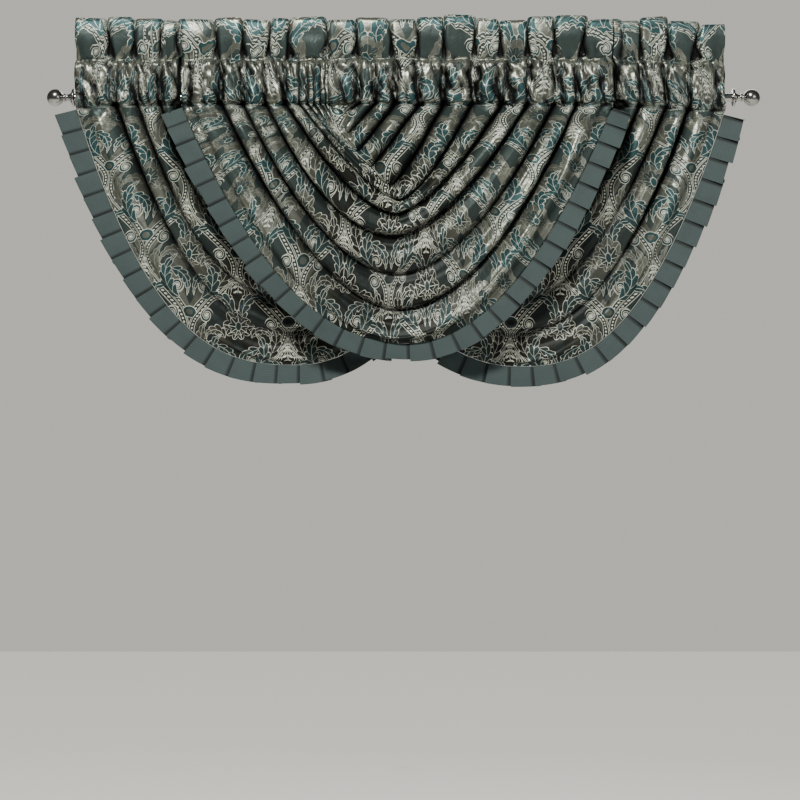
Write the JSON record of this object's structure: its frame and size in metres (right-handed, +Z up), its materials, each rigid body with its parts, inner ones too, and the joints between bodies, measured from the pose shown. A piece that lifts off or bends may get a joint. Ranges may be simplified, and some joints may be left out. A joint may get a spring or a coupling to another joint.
{
  "type": "waterfall valances on a curtain rod",
  "caption": "Overlapping waterfall valances gathered on a curtain rod, each with a stand-up header, U-shaped swag folds and a pleated ruffle round its curved hem.",
  "frame": {"origin": "middle of the curtain rod, on its axis", "axes": "+Z up, +X along the rod to the right as seen from the room, -Y out of the front of the cloth"},
  "size_m": [1.3662, 0.1171, 0.7074],
  "materials": {
    "metal": "polished pewter grey",
    "damask": "satin jacquard damask in silver taupe, slate and teal",
    "ruffle": "matt slate teal plain weave"
  },
  "bodies": {
    "root": {"rod": "metal", "finial_left": "metal", "finial_right": "metal", "valance_centre": "damask", "valance_left": "damask", "valance_right": "damask", "ruffle_centre": "ruffle", "ruffle_left": "ruffle", "ruffle_right": "ruffle"}
  },
  "joints": []
}
